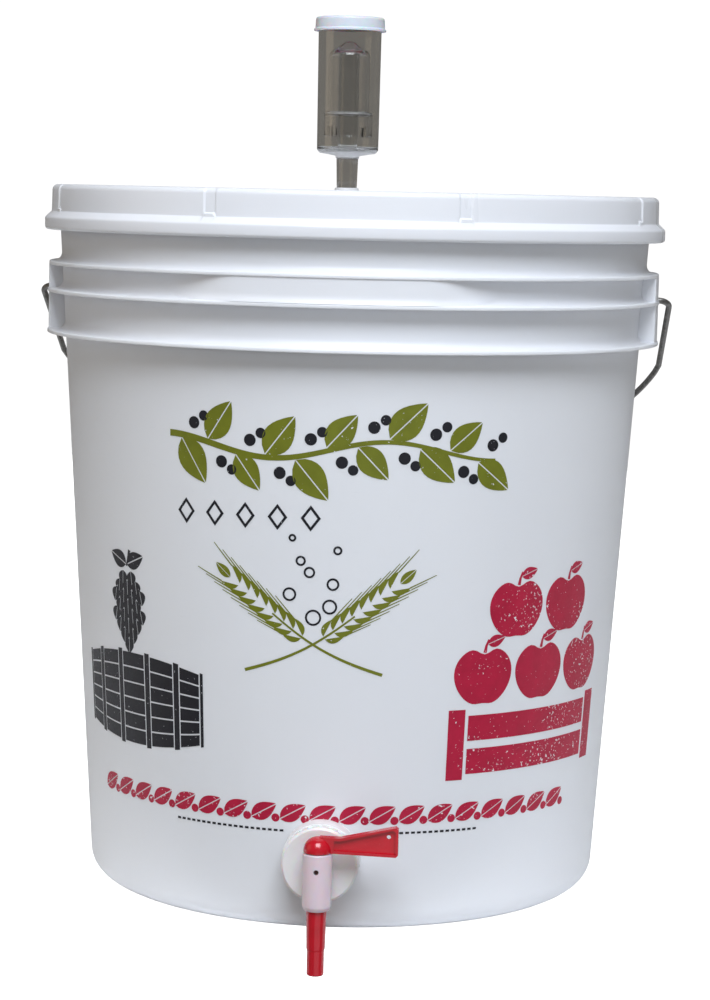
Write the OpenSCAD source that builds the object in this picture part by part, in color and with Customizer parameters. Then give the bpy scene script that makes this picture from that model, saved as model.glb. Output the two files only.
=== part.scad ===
// Plastic fermenting bucket: a drilled pail with a bail, a push-fit lid with
// a three-piece airlock, and a turning tap near the base.
// Z is up. The origin is the centre of the foot ring, on the pail's axis.
// The tap faces -Y, and the bail's ears are on +X and -X.

/* [Pail] */
// Outer radius of the wall, carried down to the foot plane
base_r = 147.4; // [145:0.1:149]
// Growth of the wall's radius for each millimetre of height
taper = 0.0602; // [0.058:0.0002:0.062]
// Height of the rim above the foot plane
rim_z = 395; // [394.9:0.1:395]
// Thickness of the wall
wall_t = 2.3; // [2:0.1:2.5]
// Height of the top of the pail's floor
floor_z = 5.6; // [5:0.1:7]
// Radius of the outer bottom corner
corner_r = 13.5; // [12:0.5:15]

/* [Rings] */
// Height of the top ring's underside
top_ring_z = 354.5; // [354:0.1:356]
// Height of the middle ring's underside
middle_ring_z = 339; // [338.6:0.1:339.2]
// Height of the low ring's underside
low_ring_z = 315.7; // [314:0.1:317]
// Outer radius of the top ring
top_ring_r = 176.3; // [175.8:0.1:177]
// Outer radius of the middle ring
middle_ring_r = 177; // [176.6:0.1:177.4]
// Outer radius of the low ring
low_ring_r = 177.1; // [176.8:0.1:177.6]
// Thickness of a ring at its edge
ring_t = 2.2; // [1.8:0.1:2.4]
// Concave fillet between a ring's top and the wall
ring_fillet = 4.6; // [3:0.1:5]
// Half the angle that an ear box spans
ear_half = 10; // [9:0.5:12]

/* [Lid] */
// Height of the lid's rim
lid_top = 400; // [400:0.1:400.5]
// Lower edge of the lid's skirt
lid_low = 374.4; // [373:0.1:375]
// Radius of the skirt's upper band
skirt_r = 174.9; // [174.8:0.1:175.4]
// Radius of the bead round the skirt's lower edge
bead_r = 179; // [178.6:0.1:179.2]
// Angle of the first tear groove, from the tap
groove_turn = 23.1; // [0:0.1:44]

/* [Bail] */
// Radius of the wire
wire_r = 1.75; // [1.6:0.05:1.8]
// Height of the pivot
pivot_z = 341; // [340.8:0.1:341.4]
// Drop of the bail's arc, from the pivot, before the grip's flat
bail_drop = 214; // [212:0.5:216]
// Radius of the bail's arc
bail_arc_r = 187; // [186:0.5:190]
// Angle between the hanging bail and straight down
bail_lean = 56; // [56:0.5:60]
// Length of the grip
grip_len = 90; // [80:1:92]
// Radius of the grip
grip_r = 9.5; // [8:0.1:9.6]

/* [Airlock] */
// Distance from the pail's axis to the airlock's axis
lock_y = 76; // [72:0.5:80]
// Outer radius of the cup at its rim
cup_r = 17.3; // [17:0.1:17.4]
// Height of the cup's rim
cup_top = 491.6; // [491:0.1:492]
// Height of the cup's shoulder
cup_low = 421.8; // [420:0.1:423]
// Wall of the clear mouldings
clear_t = 1.1; // [1:0.1:1.2]

/* [Tap] */
// Height of the shank's axis
tap_z = 42.5; // [42:0.1:44]
// Distance from the pail's axis to the barrel's axis
barrel_y = 180; // [179:0.5:182]
// Outer radius of the barrel
barrel_r = 7.8; // [7.6:0.1:8]
// Radius of the key's core
core_r = 5.65; // [5.6:0.01:5.68]
// Outer radius of the shank's thread
thread_r = 13.2; // [13:0.05:13.25]
// Length of the lever, from the barrel's axis
lever_len = 42.6; // [38:0.1:45]
// Height of the spout's tip; the tip hangs below the foot plane
spout_tip = -14; // [-15:0.1:-13]

/* [Hidden] */
$fn = 96;
eps = 0.02;
// Rings from the top one down
ring_z = [top_ring_z, middle_ring_z, low_ring_z];
ring_r = [top_ring_r, middle_ring_r, low_ring_r];
// Clearance between a pin and its hole
pin_gap = 0.09;
// Clearance between pieces that move apart
free_gap = 0.3;
// Foot ring under the floor
foot_in = 126;
foot_h = 3;
// Bead that the lid snaps over
snap_z = 387;
snap_r = 2.2;
snap_out = 172.4;
// Ear box
ear_out = 176.4;
ear_wall = 2.4;
ear_web = 2;
ear_skin = 0.3;
// Flush filling between the two upper rings, over the tap: flat within one angle,
// faded into the wall at the other
band_out = 175.6;
band_in = 167.8;
band_flat = 16.5;
band_end = 34;
band_step = 2;
// Lid sections
lid_t = 2.2;
lid_corner = 3.2;
skirt_in = snap_out + 0.5;
plug_r = 166.8;
plug_low = 389;
panel_top = 396.5;
bead_top = 384.8;
gasket_t = 2.1;
grooves = 8;
groove_w = 6;
groove_d = 0.8;
ribs = 12;
rib_turn = 15;
hole_r = 6.7;
// Bail
stub_in = 173.7;
hook_bend = 2.6;
hook_len = 5.6;
outer_bend = 5.5;
leg_lean = 2.2;
bend_thin = 0.15;
bend_lap = 0.3;
flat_half = 48;
arc_drop = bail_drop - bail_arc_r;
knee_x = 180.3;
arc_top = asin(knee_x / bail_arc_r);
arc_end = asin(flat_half / bail_arc_r);
grip_drop = arc_drop + bail_arc_r * cos(arc_end);
// Airlock
stem_top = 417.6;
stem_r = 6;
stem_low = 381;
stem_low_r = 5;
stem_bore = 3.4;
riser_r = 5.5;
riser_top = 475.8;
bell_r = 11.45;
bell_low = 442.5;
bell_shoulder = 473.6;
bell_apex = 481.5;
skirt_low = 429.5;
bell_skirt_r = 13.2;
cap_low = 486.6;
cap_top = 494.2;
cap_r = 19.3;
// Tap
flange_r = 20.5;
flange_front = 169.6;
flange_back = 162.8;
shank_end = 118;
thread_pitch = 1.814;
thread_deep = 1.1;
barrel_low = 21.5;
barrel_top = 52.1;
hub_low = barrel_top + free_gap;
hub_r = 7.6;
dome_z = 53.4;
lever_t = 5.2;
spout_bore = 3.1;
nut_face_y = 142.6;
nut_t = 9;

// Outer radius of the tapered wall at height z
function wall_r(z) = base_r + taper * z;

// A tapered solid with the wall's outer surface, moved outwards by grow
module wall_cone(low, high, grow = 0) {
    translate([0, 0, low])
        cylinder(r1 = wall_r(low) + grow, r2 = wall_r(high) + grow,
            h = high - low, $fn = 180);
}

// A wedge that spans plus and minus half degrees about +X
module wedge(half, low, high) {
    reach = 2 * bead_r;
    translate([0, 0, low])
        linear_extrude(high - low)
            polygon([[0, 0], [reach, -reach * tan(half)],
                [reach, reach * tan(half)]]);
}

// ---- Pail ----

module ring_section(z, r) {
    inner = wall_r(z) - wall_t / 2;
    face = wall_r(z + ring_t);
    translate([inner, z])
        square([r - inner, ring_t]);
    difference() {
        translate([inner, z + ring_t - eps])
            square([face + ring_fillet - inner, ring_fillet]);
        translate([face + ring_fillet, z + ring_t + ring_fillet])
            circle(r = ring_fillet);
    }
}

module pail_section() {
    inner_corner = corner_r - wall_t;
    difference() {
        union() {
            polygon([[0, 0], [wall_r(corner_r) - corner_r, 0],
                [wall_r(corner_r), corner_r],
                [wall_r(rim_z), rim_z], [0, rim_z]]);
            translate([wall_r(corner_r) - corner_r, corner_r])
                circle(r = corner_r);
            translate([snap_out - snap_r, snap_z])
                circle(r = snap_r);
            for (i = [0 : len(ring_z) - 1])
                ring_section(ring_z[i], ring_r[i]);
        }
        polygon([[0, floor_z],
            [wall_r(corner_r) - corner_r, floor_z],
            [wall_r(floor_z + inner_corner) - wall_t, floor_z + inner_corner],
            [wall_r(rim_z + 1) - wall_t, rim_z + 1], [0, rim_z + 1]]);
        translate([wall_r(floor_z + inner_corner) - wall_t - inner_corner,
            floor_z + inner_corner])
            circle(r = inner_corner);
        square([foot_in, foot_h]);
    }
}

// Outer plate and two webs that close an ear between the rings
module ear_solid() {
    intersection() {
        difference() {
            translate([0, 0, ring_z[2]])
                cylinder(r = ear_out, h = ring_z[0] - ring_z[2] + eps, $fn = 180);
            wall_cone(ring_z[2] - 1, ring_z[0] + 1, -wall_t / 2);
        }
        wedge(ear_half, ring_z[2] - 1, ring_z[0] + 1);
    }
}

// The hollow of an ear, open at the bottom, where the wire's hook turns
module ear_hollow() {
    web_angle = asin(ear_web / ear_out);
    intersection() {
        difference() {
            translate([0, 0, ring_z[2] - 1])
                cylinder(r = ear_out - ear_wall, h = ring_z[0] - ring_z[2] + 1,
                    $fn = 180);
            wall_cone(ring_z[2] - 2, ring_z[0] + 1, ear_skin);
        }
        wedge(ear_half - web_angle, ring_z[2] - 2, ring_z[0] + 1);
    }
}

// Radius of the band's face at an angle from the tap
function band_face(angle) =
    let (share = min(1, max(0, (band_end - abs(angle)) / (band_end - band_flat))))
    band_in + (band_out - band_in) * share * share * (3 - 2 * share);

module front_band() {
    low = ring_z[1] + ring_t / 2;
    back = band_in - wall_t / 2;
    face = [for (angle = [-band_end : band_step : band_end])
        band_face(angle) * [sin(angle), -cos(angle)]];
    translate([0, 0, low])
        linear_extrude(ring_z[0] - low + eps)
            polygon(concat(face, [for (angle = [band_end : -band_step : -band_end])
                back * [sin(angle), -cos(angle)]]));
}

module bucket_body() {
    color("white")
        difference() {
            union() {
                rotate_extrude($fn = 180)
                    pail_section();
                front_band();
                for (side = [0, 180])
                    rotate([0, 0, side])
                        ear_solid();
            }
            for (side = [0, 180])
                rotate([0, 0, side]) {
                    ear_hollow();
                    translate([ear_out - ear_wall - 2, 0, pivot_z])
                        rotate([0, 90, 0])
                            cylinder(r = wire_r + pin_gap, h = ear_wall + 4);
                }
            translate([0, -base_r / 2, tap_z])
                rotate([90, 0, 0])
                    cylinder(r = thread_r + free_gap / 2, h = base_r);
        }
}

// ---- Lid ----

module lid_section() {
    round_r = 2;
    difference() {
        union() {
            translate([0, panel_top - lid_t])
                square([plug_r, lid_t]);
            translate([plug_r - lid_t, plug_low])
                square([lid_t, lid_top - plug_low]);
            translate([plug_r - lid_t, lid_top - lid_t])
                square([skirt_r - lid_corner - plug_r + lid_t, lid_t]);
            translate([skirt_r - lid_corner, lid_top - lid_corner])
                circle(r = lid_corner);
            polygon([[skirt_in, bead_top - 4], [bead_r - round_r, lid_low],
                [bead_r, lid_low + round_r],
                [bead_r, bead_top - 4.6], [bead_r - 0.9, bead_top - 2.4],
                [skirt_r + 1.2, bead_top - 0.5], [skirt_r + 0.3, bead_top + 0.8],
                [skirt_r, lid_top - lid_corner], [skirt_in, lid_top - lid_corner]]);
            translate([bead_r - round_r, lid_low + round_r])
                circle(r = round_r);
        }
        translate([plug_r, lid_low - 1])
            square([skirt_in - plug_r, lid_top - lid_t - lid_low + 1]);
        polygon([[plug_r, lid_low - 1], [bead_r - lid_t - 0.4, lid_low - 1],
            [bead_r - lid_t - 0.4, bead_top - 5.5], [skirt_in, bead_top - 1.4],
            [plug_r, bead_top - 1.4]]);
    }
}

// A shallow groove down the skirt, with a small tab at its foot
module tear_groove() {
    translate([skirt_r - groove_d, -groove_w / 2, bead_top + 1.6])
        cube([5, groove_w, lid_top - bead_top]);
}

module groove_tab() {
    deep = 1.9;
    translate([skirt_r - deep / 2, 0, bead_top - 1.6])
        rotate([90, 0, 90])
            linear_extrude(deep)
                polygon([[-5, 0], [5, 0], [2.8, 3.3], [-2.8, 3.3]]);
}

module lid() {
    color("white")
        difference() {
            union() {
                difference() {
                    rotate_extrude($fn = 180)
                        lid_section();
                    for (i = [0 : grooves - 1])
                        rotate([0, 0, groove_turn - 90 + i * 360 / grooves])
                            tear_groove();
                }
                for (i = [0 : grooves - 1])
                    rotate([0, 0, groove_turn - 90 + i * 360 / grooves])
                        groove_tab();
                for (r = [100, 142])
                    translate([0, 0, panel_top - eps])
                        difference() {
                            cylinder(r = r, h = 1.2);
                            translate([0, 0, -1])
                                cylinder(r = r - 2.4, h = 4);
                        }
                for (i = [0 : ribs - 1])
                    rotate([0, 0, rib_turn + i * 360 / ribs])
                        translate([50, -0.9, panel_top - lid_t - 4])
                            cube([plug_r - lid_t - 49.5, 1.8, 4 + eps]);
            }
            translate([0, -lock_y, panel_top - 8])
                cylinder(r = hole_r, h = 12);
        }
}

module lid_gasket() {
    low = lid_top - lid_t - gasket_t;
    color("gainsboro")
        translate([0, 0, low])
            difference() {
                cylinder(r = skirt_in - 0.1, h = gasket_t, $fn = 180);
                translate([0, 0, -1])
                    cylinder(r = plug_r + 0.1, h = gasket_t + 2, $fn = 180);
            }
}

module lid_grommet() {
    under = panel_top - lid_t;
    neck_r = hole_r - 0.05;
    color("dimgray")
        translate([0, -lock_y, 0])
            rotate_extrude()
                polygon([[5.5, under - 2.4], [8.2, under - 2.4], [8.7, under - 1.8],
                    [8.7, under], [neck_r, under], [neck_r, panel_top],
                    [9.8, panel_top], [9.8, panel_top + 1.6], [9.2, panel_top + 2.3],
                    [6.9, panel_top + 2.9], [6.5, panel_top + 5], [5.68, panel_top + 5]]);
}

// ---- Airlock ----

module airlock_body() {
    inner = cup_r - clear_t;
    low_r = cup_r - 0.4;
    collar_r = stem_r + 0.4;
    color([0.6, 0.6, 0.58, 0.5])
        translate([0, -lock_y, 0])
            rotate_extrude()
                difference() {
                    polygon([[0, stem_low], [stem_low_r, stem_low],
                        [stem_r, stem_top], [collar_r, stem_top],
                        [collar_r + 0.25, cup_low - 2.4], [low_r - 1.6, cup_low - 0.4],
                        [low_r, cup_low + 1.4], [cup_r, cup_top], [0, cup_top]]);
                    polygon([[riser_r, cup_low - 0.6], [low_r - clear_t - 1.2, cup_low + 0.9],
                        [low_r - clear_t, cup_low + 2.4], [inner, cup_top + 1],
                        [0, cup_top + 1], [0, riser_top], [riser_r - 0.4, riser_top],
                        [riser_r, riser_top - 1]]);
                    translate([0, stem_low - 1])
                        square([stem_bore, stem_top - stem_low + 5]);
                    translate([0, stem_top + 1])
                        square([riser_r - clear_t, riser_top - stem_top]);
                }
}

module airlock_float() {
    notch_w = 3.2;
    color([0.7, 0.7, 0.68, 0.5])
        translate([0, -lock_y, 0])
            difference() {
                rotate_extrude()
                    difference() {
                        polygon([[0, skirt_low], [bell_skirt_r, skirt_low],
                            [bell_skirt_r, bell_low - 0.4], [bell_skirt_r - 0.4, bell_low],
                            [bell_r, bell_low], [bell_r, bell_shoulder - 1.5],
                            [bell_r - 1.6, bell_shoulder + 0.6], [5.2, bell_apex - 2.9],
                            [2.2, bell_apex - 0.7], [0.8, bell_apex], [0, bell_apex]]);
                        polygon([[0, skirt_low - 1], [bell_skirt_r - clear_t, skirt_low - 1],
                            [bell_skirt_r - clear_t, bell_low - clear_t],
                            [bell_r - clear_t, bell_low - clear_t],
                            [bell_r - clear_t, bell_shoulder - 2],
                            [bell_r - clear_t - 1.3, bell_shoulder - 0.5],
                            [5.2, bell_apex - 4.3], [2.2, bell_apex - 2.1],
                            [0, bell_apex - 1.4]]);
                    }
                for (i = [0 : 3])
                    rotate([0, 0, 45 + i * 90])
                        translate([bell_r - 2, -notch_w / 2, skirt_low - 1])
                            cube([6, notch_w, 6.2]);
            }
}

module airlock_cap() {
    top_t = 1.4;
    top_round = 1.6;
    in_r = cup_r + free_gap;
    color([0.85, 0.86, 0.93])
        translate([0, -lock_y, 0])
            difference() {
                rotate_extrude()
                    difference() {
                        union() {
                            polygon([[0, cap_low], [cap_r + 0.5, cap_low],
                                [cap_r + 0.5, cap_low + 1], [cap_r - 0.2, cap_low + 1.7],
                                [cap_r - 0.4, cap_top - top_round], [0, cap_top - top_round]]);
                            translate([cap_r - 0.4 - top_round, cap_top - top_round])
                                circle(r = top_round);
                            translate([0, cap_top - 2])
                                square([cap_r - 0.4 - top_round, 2]);
                        }
                        translate([0, cap_low - 1])
                            square([in_r, cap_top - top_t - cap_low + 1]);
                    }
                for (i = [0 : 5])
                    rotate([0, 0, i * 60])
                        translate([6, 0, cap_top - 4])
                            cylinder(r = 0.8, h = 6);
            }
}

// ---- Bail ----

// A bend in the wire, in the plane of the bail, from one lean to another. A
// lean of 0 heads straight down, and a lean of 90 heads towards the middle.
// The bend is a little thinner than the straights and runs into their ends.
module wire_bend(radius, lean_from, lean_to) {
    lap = bend_lap / radius * 180 / PI;
    rotate([90, 0, 0])
        rotate_extrude(angle = lean_to - lean_from + 2 * lap, start = -lean_to - lap)
            translate([radius, 0])
                circle(r = wire_r - bend_thin);
}

// One side of the wire, in the plane of the hanging bail
module bail_half() {
    knee_z = -arc_drop - bail_arc_r * cos(arc_top);
    leg_top = outer_bend + outer_bend * sin(leg_lean);
    leg_len = (-knee_z - leg_top) / cos(leg_lean);
    leg_x = knee_x + leg_len * sin(leg_lean);
    stub_out = leg_x - outer_bend * cos(leg_lean);
    // hook inside the ear
    translate([stub_in - hook_bend, 0, hook_bend])
        cylinder(r = wire_r, h = hook_len);
    translate([stub_in, 0, hook_bend])
        rotate([0, 180, 0])
            wire_bend(hook_bend, -90, 0);
    // pivot stub
    translate([stub_in, 0, 0])
        rotate([0, 90, 0])
            cylinder(r = wire_r, h = stub_out - stub_in);
    translate([stub_out, 0, -outer_bend])
        wire_bend(outer_bend, -90, leg_lean);
    // straight leg, then the arc round the pail
    translate([leg_x, 0, -leg_top])
        rotate([0, 180 + leg_lean, 0])
            cylinder(r = wire_r, h = leg_len);
    translate([0, 0, -arc_drop])
        wire_bend(bail_arc_r, 90 - arc_top, 90 - arc_end);
}

module bail_wire() {
    color("dimgray")
        translate([0, 0, pivot_z])
            rotate([bail_lean, 0, 0]) {
                bail_half();
                mirror([1, 0, 0])
                    bail_half();
                translate([-flat_half, 0, -grip_drop])
                    rotate([0, 90, 0])
                        cylinder(r = wire_r, h = 2 * flat_half);
            }
}

module bail_grip() {
    half = grip_len / 2;
    groove_pitch = 9;
    color("whitesmoke")
        translate([0, 0, pivot_z])
            rotate([bail_lean, 0, 0])
                translate([0, 0, -grip_drop])
                    rotate([0, 90, 0])
                        rotate_extrude()
                            difference() {
                                polygon([[wire_r + free_gap, -half], [grip_r - 2.2, -half],
                                    [grip_r - 0.8, -half + 0.8], [grip_r - 0.4, -half + 3],
                                    [grip_r, -half / 2], [grip_r, half / 2],
                                    [grip_r - 0.4, half - 3], [grip_r - 0.8, half - 0.8],
                                    [grip_r - 2.2, half], [wire_r + free_gap, half]]);
                                for (i = [-4 : 4])
                                    translate([grip_r + 0.9, i * groove_pitch])
                                        circle(r = 1.7);
                            }
}

// ---- Tap ----

// Shank profile: thread ridges at a constant pitch, stood on the flange
function thread_points(turns) = [for (i = [0 : turns - 1], half = [0, 1])
    [thread_r - thread_deep * half, (i + half * 0.5 + 0.25) * thread_pitch]];

module tap_shank() {
    length = flange_back - shank_end;
    turns = floor(length / thread_pitch) - 1;
    root_r = thread_r - thread_deep;
    translate([0, -flange_back, tap_z])
        rotate([-90, 0, 0])
            rotate_extrude()
                polygon(concat([[0, -1], [root_r, -1], [root_r, 0]],
                    thread_points(turns),
                    [[root_r, turns * thread_pitch], [root_r, length - 1],
                        [root_r - 1, length], [0, length]]));
}

module tap_body() {
    flutes = 24;
    color([0.9, 0.88, 0.88])
        difference() {
            union() {
                tap_shank();
                // flange with a fluted edge
                translate([0, -flange_front, tap_z])
                    rotate([-90, 0, 0])
                        difference() {
                            rotate_extrude()
                                polygon([[0, 0], [flange_r - 1.2, 0], [flange_r, 1],
                                    [flange_r, flange_front - flange_back],
                                    [0, flange_front - flange_back]]);
                            for (i = [0 : flutes - 1])
                                rotate([0, 0, i * 360 / flutes])
                                    translate([flange_r + 0.9, 0, 2.4])
                                        cylinder(r = 1.6, h = 10, $fn = 24);
                        }
                // neck from the flange to the barrel
                translate([0, -barrel_y, tap_z])
                    rotate([-90, 0, 0])
                        cylinder(r = 7, h = barrel_y - flange_front + 1);
                // barrel
                translate([0, -barrel_y, 0])
                    rotate_extrude()
                        polygon([[0, barrel_low], [barrel_r - 1, barrel_low],
                            [barrel_r, barrel_low + 2.4], [barrel_r, barrel_top - 0.5],
                            [barrel_r - 0.4, barrel_top], [0, barrel_top]]);
            }
            translate([0, -barrel_y, barrel_low - 1])
                cylinder(r = core_r + pin_gap, h = barrel_top - barrel_low + 2);
            // passage into the barrel
            translate([0, -barrel_y, tap_z])
                rotate([-90, 0, 0])
                    cylinder(r = 3.6, h = barrel_y);
            translate([0, -(flange_back - 4), tap_z])
                rotate([-90, 0, 0])
                    cylinder(r = 10, h = barrel_y);
            // dimple on the front of the barrel
            translate([0, -barrel_y - barrel_r - 1, tap_z + 0.8])
                rotate([-90, 0, 0])
                    cylinder(r = 1.25, h = 1 + 1.6, $fn = 32);
        }
}

// Lever outline, seen from the front, with its corners grown or shrunk
module lever_outline(edge) {
    polygon([[1, hub_low + 0.1 + edge], [8.6, hub_low + 0.1 + edge],
        [lever_len - 1.2, 51.6 + edge],
        [lever_len - edge, 52.8 + edge], [lever_len - edge, 66.4 - edge],
        [lever_len - 1.3 - edge, 67.6 - edge], [12, 60.8 - edge], [1, 61 - edge]]);
}

module tap_key() {
    rim = 1.5;
    web_t = 1.8;
    recess = (lever_t - web_t) / 2;
    color("crimson")
        translate([0, -barrel_y, 0])
            difference() {
                union() {
                    rotate_extrude()
                        union() {
                            polygon([[0, spout_tip], [4.2, spout_tip], [4.6, spout_tip + 0.6],
                                [4.6, -0.8], [5, 0.6], [5.45, barrel_low - 1.2],
                                [core_r, barrel_low - 0.6], [core_r, hub_low],
                                [hub_r - 0.4, hub_low], [hub_r, hub_low + 0.5],
                                [hub_r, dome_z], [0, dome_z]]);
                            intersection() {
                                translate([0, dome_z])
                                    circle(r = hub_r);
                                translate([0, dome_z - eps])
                                    square(hub_r + 1);
                            }
                        }
                    translate([0, lever_t / 2, 0])
                        rotate([90, 0, 0])
                            linear_extrude(lever_t)
                                lever_outline(0);
                }
                // recess on both faces of the lever
                for (face = [-1, 1])
                    translate([0, face * lever_t / 2 + recess, 0])
                        rotate([90, 0, 0])
                            linear_extrude(2 * recess)
                                intersection() {
                                    lever_outline(rim);
                                    translate([8.7, 40])
                                        square([60, 40]);
                                }
                translate([lever_len - 5.1, lever_t, 62.1])
                    rotate([90, 0, 0])
                        cylinder(r = 1.15, h = 2 * lever_t, $fn = 32);
                // water way, up the spout and out at the side of the core
                translate([0, 0, spout_tip - 1])
                    cylinder(r = spout_bore, h = tap_z - spout_tip + spout_bore + 1);
                translate([0, 0, tap_z])
                    rotate([0, -90, 0])
                        cylinder(r = spout_bore, h = 10);
            }
}

module tap_outer_washer() {
    washer_r = 21;
    color("whitesmoke")
        difference() {
            translate([0, -flange_back, tap_z])
                rotate([-90, 0, 0])
                    cylinder(r = washer_r, h = 20);
            translate([0, -flange_back - 1, tap_z])
                rotate([-90, 0, 0])
                    cylinder(r = thread_r + 0.05, h = 24);
            wall_cone(tap_z - 2 * washer_r + 5, tap_z + 2 * washer_r, 0.01);
        }
}

module tap_inner_washer() {
    washer_r = 21;
    color("gray")
        intersection() {
            translate([0, -nut_face_y, tap_z])
                rotate([90, 0, 0])
                    difference() {
                        cylinder(r = washer_r, h = 12);
                        translate([0, 0, -1])
                            cylinder(r = thread_r + 0.05, h = 14);
                    }
            wall_cone(tap_z - 2 * washer_r + 5, tap_z + 2 * washer_r, -wall_t - 0.01);
        }
}

module tap_back_nut() {
    color([0.9, 0.88, 0.88])
        translate([0, -nut_face_y, tap_z])
            rotate([-90, 0, 0])
                difference() {
                    union() {
                        cylinder(r = 20.5, h = 2);
                        rotate([0, 0, 30])
                            cylinder(r = 21, h = nut_t, $fn = 6);
                    }
                    translate([0, 0, -1])
                        cylinder(r = thread_r + 0.05, h = nut_t + 2);
                }
}

bucket_body();
lid();
lid_gasket();
lid_grommet();
airlock_body();
airlock_float();
airlock_cap();
bail_wire();
bail_grip();
tap_body();
tap_key();
tap_outer_washer();
tap_inner_washer();
tap_back_nut();
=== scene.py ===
"""Looks of the fermenting bucket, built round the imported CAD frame.

Metres, Z up, the tap towards -Y. Helper geometry is worked out in millimetres
and scaled by MM when it becomes a mesh.
"""

import math

import bmesh
import bpy
from mathutils import Matrix, Vector


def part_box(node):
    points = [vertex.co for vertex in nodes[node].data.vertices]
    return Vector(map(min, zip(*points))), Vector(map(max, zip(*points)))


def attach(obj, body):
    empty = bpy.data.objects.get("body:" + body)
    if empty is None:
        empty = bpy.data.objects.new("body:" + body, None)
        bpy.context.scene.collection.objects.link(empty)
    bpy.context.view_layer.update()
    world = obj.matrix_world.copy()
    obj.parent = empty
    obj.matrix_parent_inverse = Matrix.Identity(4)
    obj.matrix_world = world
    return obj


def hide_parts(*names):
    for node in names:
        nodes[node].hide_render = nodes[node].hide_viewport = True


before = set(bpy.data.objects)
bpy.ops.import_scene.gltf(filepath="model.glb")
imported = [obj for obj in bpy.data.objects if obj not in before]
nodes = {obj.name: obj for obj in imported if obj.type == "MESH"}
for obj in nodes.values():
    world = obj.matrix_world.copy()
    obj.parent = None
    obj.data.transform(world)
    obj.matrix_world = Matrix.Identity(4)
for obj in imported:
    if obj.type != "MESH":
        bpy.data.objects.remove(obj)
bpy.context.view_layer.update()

MM = 0.001

# ---- Driving sizes, as the CAD source has them ----
# In millimetres. EAR_HALF, EAR_ROUND, BAND_FLAT and BAND_END are degrees round the pail.
BASE_R = 147.4
TAPER = 0.0602
WALL_T = 2.3
FLOOR_Z = 5.6
FOOT_IN = 126
CORNER_R = 13.5
FOOT_H = 3
RIM_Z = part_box("bucket_body")[1].z / MM
LID_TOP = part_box("lid")[1].z / MM
LID_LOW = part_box("lid")[0].z / MM
BEAD_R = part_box("lid")[1].x / MM
SKIRT_R = 174.9
RINGS = [(315.7, 177.1), (339, 177), (354.5, 176.3)]
RING_T = 2.2
RING_FILLET = 4.6
BAND_OUT, BAND_IN = 175.6, 167.8
BAND_FLAT, BAND_END = 16.5, 34
BAND_FLARE = 1.4
EAR_HALF = 10
EAR_ROUND = 0.3
EAR_OUT = 176.4
PIVOT_HOLE_R = 1.9
TAP_HOLE_R = 13.35
PANEL_Z = 396.5
PANEL_T = 2.2
CHANNEL_IN, CHANNEL_OUT = 164.6, 172.9
CHANNEL_TOP = 397.8
GROMMET_HOLE_R = 6.75
LOCK_Y = -76
TAP_Z = 42.5
BARREL_Y = -180
PIVOT_Z = 341
BAIL_LEAN = math.radians(56)
WIRE_R = 1.75


def wall_r(z):
    """Outer radius of the tapered wall at height z."""
    return BASE_R + TAPER * z


# ---- Mesh helpers ----

def rounded(corners, segments=5):
    """Outline through (x, y, fillet) corners, with each fillet as a short arc."""
    outline = []
    for i, (x, y, fillet) in enumerate(corners):
        here = Vector((x, y))
        if fillet == 0:
            outline.append((x, y))
            continue
        before = (Vector(corners[i - 1][:2]) - here).normalized()
        after = (Vector(corners[(i + 1) % len(corners)][:2]) - here).normalized()
        half = before.angle(after) / 2
        back = fillet / math.tan(half)
        centre = here + (before + after).normalized() * fillet / math.sin(half)
        start = here + before * back - centre
        end = here + after * back - centre
        sweep = start.angle_signed(end)
        for k in range(segments + 1):
            turn = Matrix.Rotation(-sweep * k / segments, 2)
            point = centre + turn @ start
            outline.append((point.x, point.y))
    return outline


def even_angles(count):
    """Angles in degrees, evenly spaced round the circle."""
    return [360 * i / count for i in range(count)]


def revolve(outline, angles, warp=None):
    """Turns a closed (r, z) outline round Z. Points on the axis become poles.

    warp(angle, r, z) may move a point of the outline at one angle.
    """
    verts = []
    rows = []
    for angle in angles:
        turn = math.radians(angle)
        row = []
        for r, z in outline:
            if r < 1e-6:
                row.append(("pole", z))
                continue
            if warp:
                r, z = warp(angle, r, z)
            row.append(len(verts))
            verts.append((r * math.cos(turn), r * math.sin(turn), z))
        rows.append(row)
    poles = {}
    for row in rows:
        for i, entry in enumerate(row):
            if isinstance(entry, tuple):
                if entry not in poles:
                    poles[entry] = len(verts)
                    verts.append((0, 0, entry[1]))
                row[i] = poles[entry]
    faces = []
    for i, row in enumerate(rows):
        following = rows[(i + 1) % len(rows)]
        for a in range(len(outline)):
            b = (a + 1) % len(outline)
            corners = []
            for index in (row[a], row[b], following[b], following[a]):
                if index not in corners:
                    corners.append(index)
            if len(corners) > 2:
                faces.append(corners)
    return verts, faces


def smooth_mesh(mesh, angle=32):
    """Smooth shading, with edges sharper than the angle kept crisp."""
    work = bmesh.new()
    work.from_mesh(mesh)
    bmesh.ops.recalc_face_normals(work, faces=work.faces)
    for face in work.faces:
        face.smooth = True
    for edge in work.edges:
        edge.smooth = not (edge.is_manifold and edge.calc_face_angle(0) > math.radians(angle))
    work.to_mesh(mesh)
    work.free()


def new_object(name, data):
    """An object in the scene for a mesh, a light or a camera."""
    made = bpy.data.objects.new(name, data)
    bpy.context.scene.collection.objects.link(made)
    return made


def loose_mesh(name, verts, faces, matrix=None):
    """A mesh object from millimetre points, riding on nothing yet."""
    mesh = bpy.data.meshes.new(name)
    mesh.from_pydata([Vector(v) * MM for v in verts], [], faces)
    if matrix:
        mesh.transform(matrix)
    smooth_mesh(mesh)
    return new_object(name, mesh)


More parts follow.
